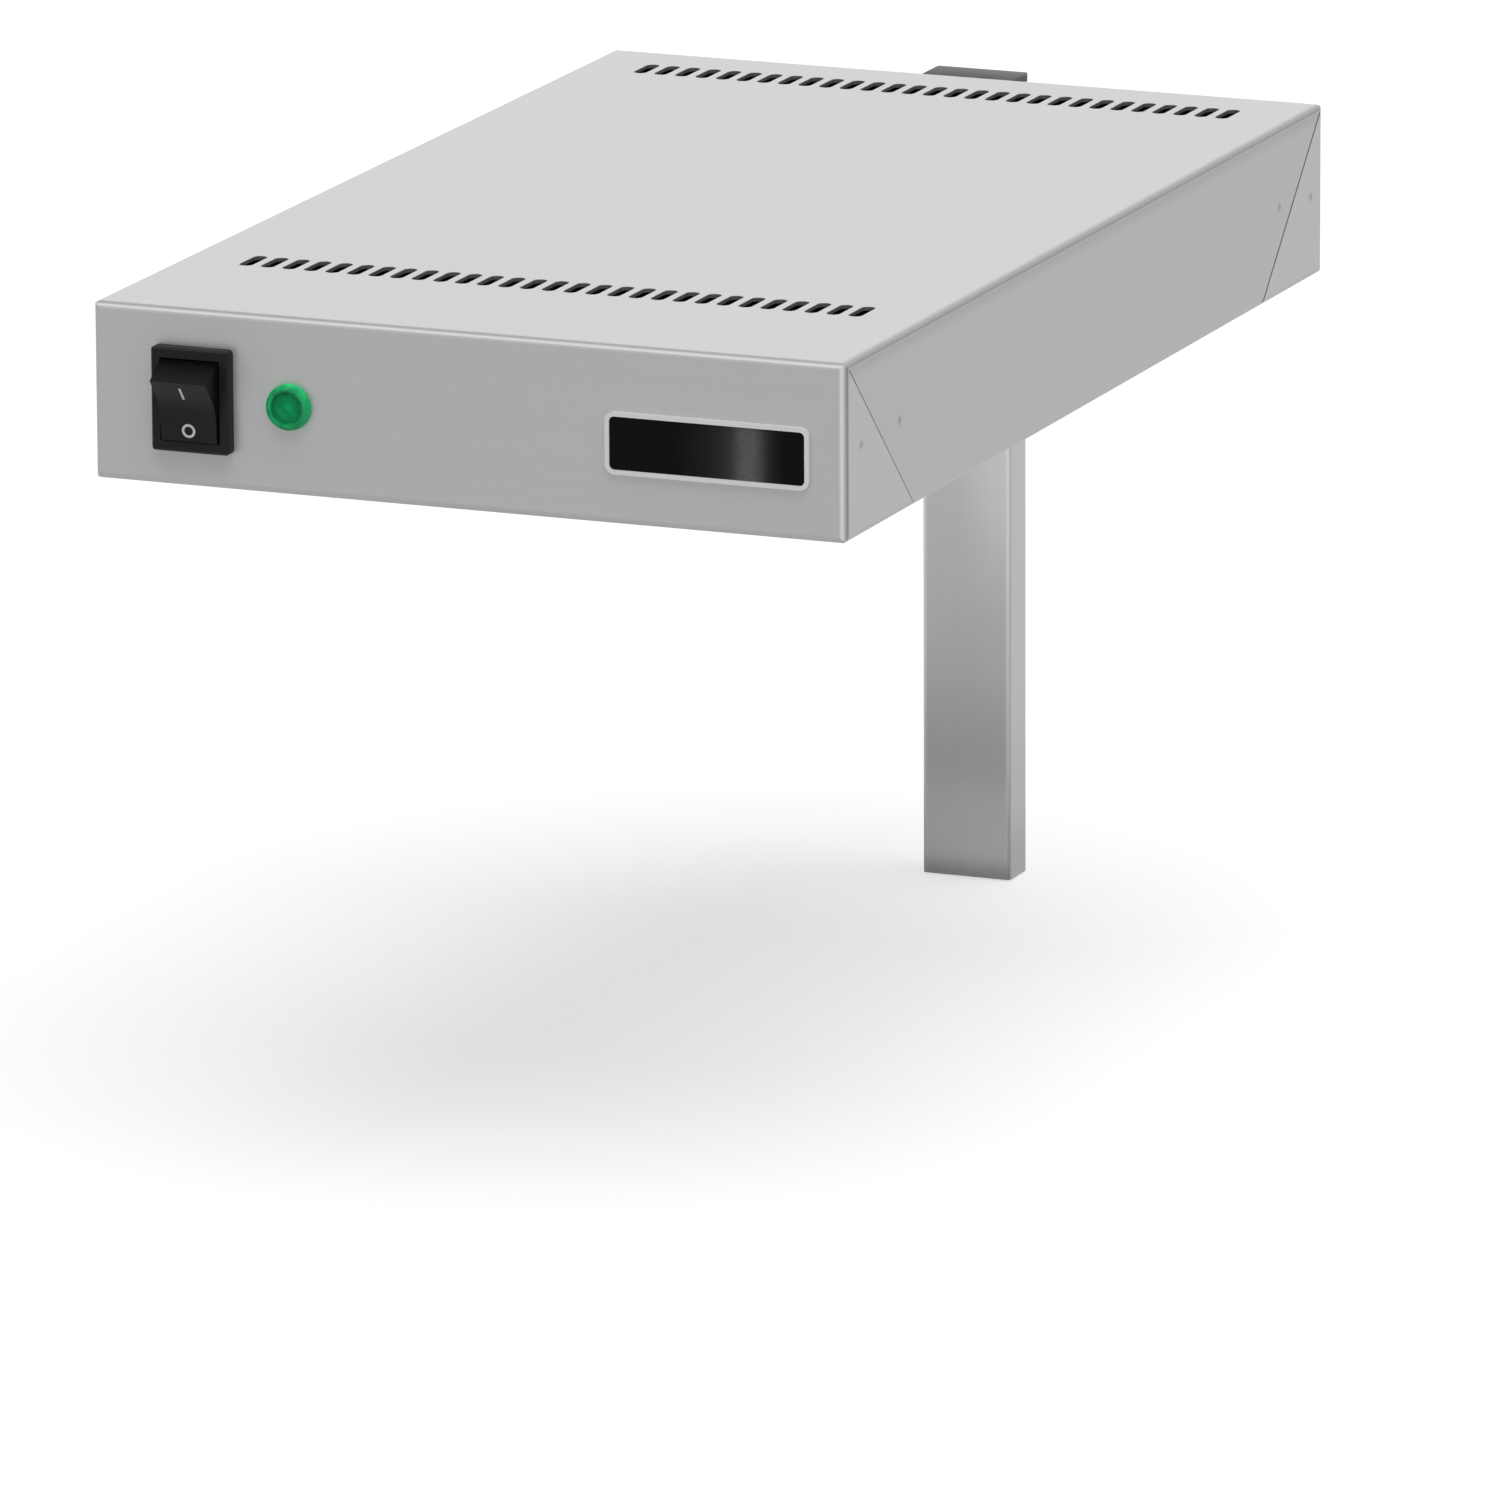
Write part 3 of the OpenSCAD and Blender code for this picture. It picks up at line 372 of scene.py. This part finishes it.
def moulded(name, color, rough, grit=2200, strength=0.12, coat=0.0, specular=0.12, end_dark=None):
    """Moulded plastic with a fine spark-eroded grain."""
    m = Mat(name)
    fine = m.noise(m.coords((grit, grit, grit)), 1, 2)
    wide = m.noise(m.coords((60, 60, 60)), 1, 2)
    dark = darker(color, 0.85)
    tint = m.mix(wide, dark, color)
    if end_dark:
        # the rocker's upper end face is dull and has painted shade that darkens upwards, and its front edge has a
        # painted highlight, a light line
        at = m.add("ShaderNodeSeparateXYZ")
        m.link(m.coords(), at.inputs[0])
        own = m.add("ShaderNodeTexCoord")
        face = m.add("ShaderNodeSeparateXYZ")
        m.link(own.outputs["Normal"], face.inputs[0])
        up = m.span(face.outputs[2], 0.45, 0.7, smooth=True)
        high = m.span(at.outputs[2], end_dark[0], end_dark[1])
        end = m.mix(high, darker(color, 0.75), (0.002, 0.002, 0.002, 1))
        tint = m.mix(up, tint, end)
        ridge_highlight = m.math("MULTIPLY", m.span(face.outputs[2], 0.06, 0.2), m.span(face.outputs[2], 0.8, 0.6))
        tint = m.mix(ridge_highlight, tint, (0.08, 0.08, 0.082, 1))
        # its two sides stand in the window's shade
        flank = m.span(m.math("ABSOLUTE", face.outputs[0]), 0.7, 0.95)
        tint = m.mix(flank, tint, darker(color, 0.3))
        specular = m.blend(up, specular, 0.02)
    m.set(
        color=tint,
        rough=m.span(wide, 0.3, 0.7, rough * 0.9, rough * 1.1),
        specular=specular,
        coat=coat,
        coat_rough=0.2,
    )
    m.bump(fine, strength, 0.00006)
    return m.mat


def spangled(name, color, dark_above=False):
    """Zinc-coated sheet with soft crystal patches, with painted shade that makes the faces standing inside the head
    near black.
    """
    m = Mat(name)
    v = m.add("ShaderNodeTexVoronoi")
    v.inputs["Scale"].default_value = 160
    m.link(m.coords((1, 1, 1)), v.inputs["Vector"])
    sep = m.add("ShaderNodeSeparateColor")
    m.link(v.outputs["Color"], sep.inputs[0])
    patch = sep.outputs[0]
    dark = darker(color, 0.86)
    tint = m.mix(patch, dark, color)
    if dark_above:
        geo = m.add("ShaderNodeNewGeometry")
        face = m.add("ShaderNodeSeparateXYZ")
        m.link(geo.outputs["True Normal"], face.inputs[0])
        # painted shade: faces that do not face down are near black
        tint = m.mix(m.math("GREATER_THAN", face.outputs[2], -0.5), tint, (0.035, 0.034, 0.032, 1))
    m.set(
        color=tint,
        metallic=0.75,
        rough=m.span(patch, 0, 1, 0.32, 0.5),
    )
    return m.mat


def glazed(name, color):
    m = Mat(name)
    speck = m.noise(m.coords((700, 700, 700)), 1, 2)
    wide = m.noise(m.coords((30, 30, 30)), 1, 3)
    warm = (color[0] * 0.95, color[1] * 0.91, color[2] * 0.84, 1)
    spots = m.span(speck, 0.68, 0.74)
    m.set(
        color=m.mix(spots, m.mix(m.span(wide, 0.35, 0.75), color, warm), (0.55, 0.5, 0.42, 1)),
        rough=m.span(wide, 0.3, 0.7, 0.28, 0.4),
        coat=0.3,
        coat_rough=0.15,
    )
    m.bump(wide, 0.2, 0.0003)
    return m.mat


def lead_skin(name, color, stripe=None):
    """Lead insulation, plain or with a second colour spiralling round it."""
    m = Mat(name)
    fine = m.noise(m.coords((1500, 1500, 1500)), 1, 2)
    tint = m.mix(m.noise(m.coords((80, 80, 80)), 1, 2), darker(color, 0.85), color)
    if stripe:
        w = m.add("ShaderNodeTexWave", bands_direction="DIAGONAL")
        w.inputs["Scale"].default_value = 70
        m.link(m.coords((1, 1, 1)), w.inputs["Vector"])
        tint = m.mix(m.math("GREATER_THAN", w.outputs["Fac"], 0.6), tint, stripe)
    m.set(color=tint, rough=0.5)
    m.bump(fine, 0.1, 0.0001)
    return m.mat


def back_grey_plastic():
    """Plastic of the cap and the foot plug: black, greyer in soft patches towards its back."""
    m = Mat("cap_plastic")
    at = m.add("ShaderNodeSeparateXYZ")
    m.link(m.coords(), at.inputs[0])
    fine = m.noise(m.coords((1800, 1800, 1800)), 1, 2)
    patch = m.noise(m.coords((140, 140, 140)), 1, 3)
    back = m.span(at.outputs[1], -0.007, 0.008)
    grey_back = m.math("MULTIPLY", m.span(patch, 0.3, 0.7, 0.7, 1.1), back)
    m.set(
        color=m.mix(grey_back, (0.035, 0.035, 0.037, 1), (0.16, 0.16, 0.162, 1)),
        rough=m.span(patch, 0.3, 0.7, 0.45, 0.6),
        specular=0.15,
    )
    m.bump(fine, 0.1, 0.00006)
    return m.mat


# strength of the painted reflection from the plate's left end (0) to its right end (1)
PLATE_REFLECTION = [(0, 0.0), (0.4, 0.01), (0.6, 0.08), (0.72, 0.3), (0.76, 0.22), (0.84, 0.03), (1, 0.0)]


def dark_foil():
    """Black foil of the blank plate, with one soft grey painted reflection from top to bottom."""
    m = Mat("plate_black")
    lo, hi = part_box("nameplate_field")
    at = m.add("ShaderNodeSeparateXYZ")
    m.link(m.coords(), at.inputs[0])
    along = m.span(at.outputs[0], lo.x, hi.x)
    fine = m.noise(m.coords((900, 900, 900)), 1, 2)
    painted_reflection = curve(m, along, PLATE_REFLECTION)
    painted_reflection = m.math("MULTIPLY", painted_reflection, m.span(fine, 0.3, 0.7, 0.9, 1.1))
    m.set(
        color=m.mix(painted_reflection, (0.0015, 0.0015, 0.002, 1), (0.5, 0.5, 0.51, 1)),
        rough=m.span(fine, 0.3, 0.7, 0.18, 0.26),
        specular=0.06,
    )
    return m.mat


# ---------------------------------------------------------------- materials

STEEL = satin_steel("satin_stainless", 0.565)
# painted shade: the side walls take a darker copy of the head's steel
SHADED_SIDE_STEEL = satin_steel("satin_stainless_shaded_side", 0.532)
POST = post_steel("post_stainless", 0.72)
INNER = spangled("zinc_sheet", (0.3, 0.305, 0.31, 1), dark_above=True)
BACKING = plain_metal("dark_backing", (0.07, 0.07, 0.07, 1), 0.6, metallic=0.3)
FIXING = plain_metal("bright_fixing", (0.72, 0.72, 0.74, 1), 0.28)
BRIGHT = plain_metal("bright_aluminium", (0.84, 0.85, 0.86, 1), 0.18, grit=220, strength=0.25)
CHROME = plain_metal("chromed_wire", (0.8, 0.81, 0.82, 1), 0.12, metallic=1.0, strength=0.05)
BRASS = plain_metal("brass", (0.72, 0.55, 0.25, 1), 0.3)
CERAMIC = glazed("white_ceramic", (0.86, 0.85, 0.8, 1))
BLACK = moulded("black_plastic", (0.0175, 0.0175, 0.0185, 1), 0.42)
# heights between which the painted shade on the rocker's upper end face darkens, in metres above the post's end
END_DARK = (0.2412, 0.2448)
ROCKER_BLACK = (0.017, 0.017, 0.018, 1)
ROCKER = moulded("rocker_plastic", ROCKER_BLACK, 0.34, grit=3000, strength=0.08, end_dark=END_DARK)
CAP = back_grey_plastic()
SEAL = moulded("seal_rubber", (0.05, 0.05, 0.05, 1), 0.7)
PRINT = moulded("white_print", (0.98, 0.98, 0.97, 1), 0.5, strength=0.02)
RIM = plain_metal("plate_rim", (0.82, 0.82, 0.83, 1), 0.4, metallic=0.25, strength=0.02)
BROWN = lead_skin("brown_lead", (0.2, 0.1, 0.06, 1))
BLUE = lead_skin("blue_lead", (0.08, 0.2, 0.45, 1))
WHITE_LEAD = lead_skin("glass_fibre_lead", (0.75, 0.72, 0.64, 1))
EARTH = lead_skin("earth_lead", (0.65, 0.6, 0.05, 1), (0.05, 0.3, 0.08, 1))
GREY_LEAD = lead_skin("grey_lead", (0.4, 0.4, 0.41, 1))


# painted light and shade of the lens from its middle (0) to its rim (1)
LENS_RINGS = [(0, 0.62), (0.35, 0.54), (0.58, 0.42), (0.66, 0.38), (0.76, 0.64), (0.9, 0.68), (1, 0.8)]


def lens_green():
    """Green translucent lens with painted light and shade: a bright rim round a darker, deeper middle."""
    m = Mat("pilot_green")
    lo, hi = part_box("pilot_lens")
    mid = (lo + hi) / 2
    tc = m.add("ShaderNodeTexCoord")
    sep = m.add("ShaderNodeSeparateXYZ")
    m.link(tc.outputs["Object"], sep.inputs[0])
    dx = m.math("SUBTRACT", sep.outputs[0], mid.x)
    dz = m.math("SUBTRACT", sep.outputs[2], mid.z)
    r = m.math("SQRT", m.math("ADD", m.math("MULTIPLY", dx, dx), m.math("MULTIPLY", dz, dz)))
    zone = m.math("DIVIDE", r, (hi.x - lo.x) / 2)
    cloud = m.noise(m.coords((420, 420, 420)), 1, 3)
    light = curve(m, zone, LENS_RINGS)
    light = m.math("MULTIPLY", light, m.span(cloud, 0.35, 0.65, 0.8, 1.2))
    tint = m.add("ShaderNodeVectorMath", operation="SCALE")
    m.link(m.mix(m.span(zone, 0.6, 0.72), (0.0, 0.8, 0.27, 1), (0.03, 0.78, 0.26, 1)), tint.inputs[0])
    m.link(light, tint.inputs["Scale"])
    m.set(
        color=tint.outputs[0],
        specular=0.03,
        coat=0.06,
        coat_rough=0.06,
        rough=m.span(cloud, 0.3, 0.7, 0.14, 0.24),
        transmission=0.08,
        ior=1.49,
    )
    return m.mat


LENS = lens_green()
FIELD = dark_foil()
NEON = moulded("neon_glass", (0.8, 0.55, 0.35, 1), 0.15, strength=0.02)

PAINT = {
    STEEL: [n for n in HEAD if n not in ("left_wall", "right_wall")],
    SHADED_SIDE_STEEL: ["left_wall", "right_wall"],
    BACKING: ["corner_backings"],
    POST: ["post_tube"],
    INNER: [
        "rear_stiffener",
        "front_partition",
        "rear_partition",
        "control_cover",
        "wiring_cover",
    ],
    FIXING: [
        "cover_screws",
        "reflector_screws",
        "reflector_spacers",
        "reflector_nuts",
        "emitter_clips",
        "post_bolts",
        "post_washers",
        "post_nuts",
        "fixing_inserts",
    ],
    BRIGHT: ["reflector"],
    CHROME: ["guard_grille"],
    BRASS: ["switch_terminals", "block_screws", "earth_stud"],
    CERAMIC: ["emitter_left", "emitter_right", "emitter_beads", "mains_block", "junction_block"],
    BLACK: ["switch_housing", "pilot_nut", "gland_body", "gland_locknut", "gland_cap"],
    ROCKER: ["switch_rocker"],
    CAP: ["post_cap", "foot_plug"],
    SEAL: ["gland_seal"],
    PRINT: ["rocker_marks"],
    FIELD: ["nameplate_field"],
    RIM: ["nameplate_frame"],
    LENS: ["pilot_lens"],
    NEON: ["pilot_neon"],
    BROWN: ["switch_leads"],
    BLUE: ["mains_leads"],
    WHITE_LEAD: ["emitter_leads"],
    EARTH: ["earth_lead"],
    GREY_LEAD: ["pilot_leads"],
}
for material, names in PAINT.items():
    for n in names:
        NODES[n].data.materials.clear()
        NODES[n].data.materials.append(material)
left = sorted(set(NODES) - {n for names in PAINT.values() for n in names})
assert not left, left

# ---------------------------------------------------------------- softened edges

# node, width of its softened edges in mm, and the angle in degrees from which an edge is softened
EASED = (
    ("switch_rocker", 0.4, 25),
    ("switch_housing", 0.25, 40),
    ("nameplate_frame", 0.3, 40),
    ("post_cap", 0.3, 40),
)
for name, width, sharp in EASED:
    ease = NODES[name].modifiers.new("ease", "BEVEL")
    ease.width = width * MM
    ease.segments = 3
    ease.limit_method = "ANGLE"
    ease.angle_limit = math.radians(sharp)
    ease.harden_normals = False

# ---------------------------------------------------------------- studio


# the floor's half width and its gap below the object in metres, and its glow as the camera sees it
FLOOR_HALF, FLOOR_GAP, FLOOR_GLOW = 40, 0.0005, 0.62
# strength of the world as it lights the object, and as it is seen
WORLD_LIGHT, WORLD_SEEN = 0.25, 1.0


def make_floor():
    """A wide pale floor: white to the camera, with the object's soft shadow on it. It is clear from below."""
    s = FLOOR_HALF
    mesh = bpy.data.meshes.new("floor")
    mesh.from_pydata([(-s, -s, 0), (s, -s, 0), (s, s, 0), (-s, s, 0)], [], [(0, 1, 2, 3)])
    floor = bpy.data.objects.new("floor", mesh)
    floor.location.z = cad_box[0].z - FLOOR_GAP
    bpy.context.scene.collection.objects.link(floor)
    m = Mat("floor")
    m.set(color=(0.45, 0.45, 0.45, 1), rough=0.9, specular=0.0)
    path = m.add("ShaderNodeLightPath")
    seen = m.math("MAXIMUM", path.outputs["Is Camera Ray"], path.outputs["Is Glossy Ray"])
    seen = m.math("MAXIMUM", seen, path.outputs["Is Transmission Ray"])
    glow = m.add("ShaderNodeEmission")
    m.link(m.math("MULTIPLY", seen, FLOOR_GLOW), glow.inputs["Strength"])
    both = m.add("ShaderNodeAddShader")
    m.link(m.bsdf.outputs[0], both.inputs[0])
    m.link(glow.outputs[0], both.inputs[1])
    geo = m.add("ShaderNodeNewGeometry")
    clear = m.add("ShaderNodeBsdfTransparent")
    pick = m.add("ShaderNodeMixShader")
    m.link(geo.outputs["Backfacing"], pick.inputs[0])
    m.link(both.outputs[0], pick.inputs[1])
    m.link(clear.outputs[0], pick.inputs[2])
    m.link(pick.outputs[0], m.out.inputs[0])
    floor.data.materials.append(m.mat)


def make_world():
    """A white world, dimmer as a light than as it is seen directly, in a reflection or through glass."""
    world = bpy.data.worlds.new("studio")
    bpy.context.scene.world = world
    world.use_nodes = True
    t = world.node_tree
    t.nodes.clear()
    out = t.nodes.new("ShaderNodeOutputWorld")
    bg = t.nodes.new("ShaderNodeBackground")
    bg.inputs["Color"].default_value = (1, 1, 1, 1)
    path = t.nodes.new("ShaderNodeLightPath")
    a = t.nodes.new("ShaderNodeMath")
    a.operation = "MAXIMUM"
    b = t.nodes.new("ShaderNodeMath")
    b.operation = "MAXIMUM"
    t.links.new(path.outputs["Is Camera Ray"], a.inputs[0])
    t.links.new(path.outputs["Is Glossy Ray"], a.inputs[1])
    t.links.new(a.outputs[0], b.inputs[0])
    t.links.new(path.outputs["Is Transmission Ray"], b.inputs[1])
    r = t.nodes.new("ShaderNodeMapRange")
    r.inputs["To Min"].default_value = WORLD_LIGHT
    r.inputs["To Max"].default_value = WORLD_SEEN
    t.links.new(b.outputs[0], r.inputs["Value"])
    t.links.new(r.outputs[0], bg.inputs["Strength"])
    t.links.new(bg.outputs[0], out.inputs[0])


def sun(name, strength, azimuth, elevation, spread):
    """A broad soft sun from that direction: azimuth 0 shines from the front, 90 from the right."""
    data = bpy.data.lights.new(name, "SUN")
    data.energy = strength
    data.angle = math.radians(spread)
    o = bpy.data.objects.new(name, data)
    a, e = math.radians(azimuth), math.radians(elevation)
    at = Vector((math.sin(a) * math.cos(e), -math.cos(a) * math.cos(e), math.sin(e)))
    o.rotation_mode = "QUATERNION"
    o.rotation_quaternion = at.to_track_quat("Z", "Y")
    bpy.context.scene.collection.objects.link(o)


make_floor()
make_world()
sun("key", 2.5, 56, 76, 60)

scene = bpy.context.scene
scene.view_settings.view_transform = "Standard"
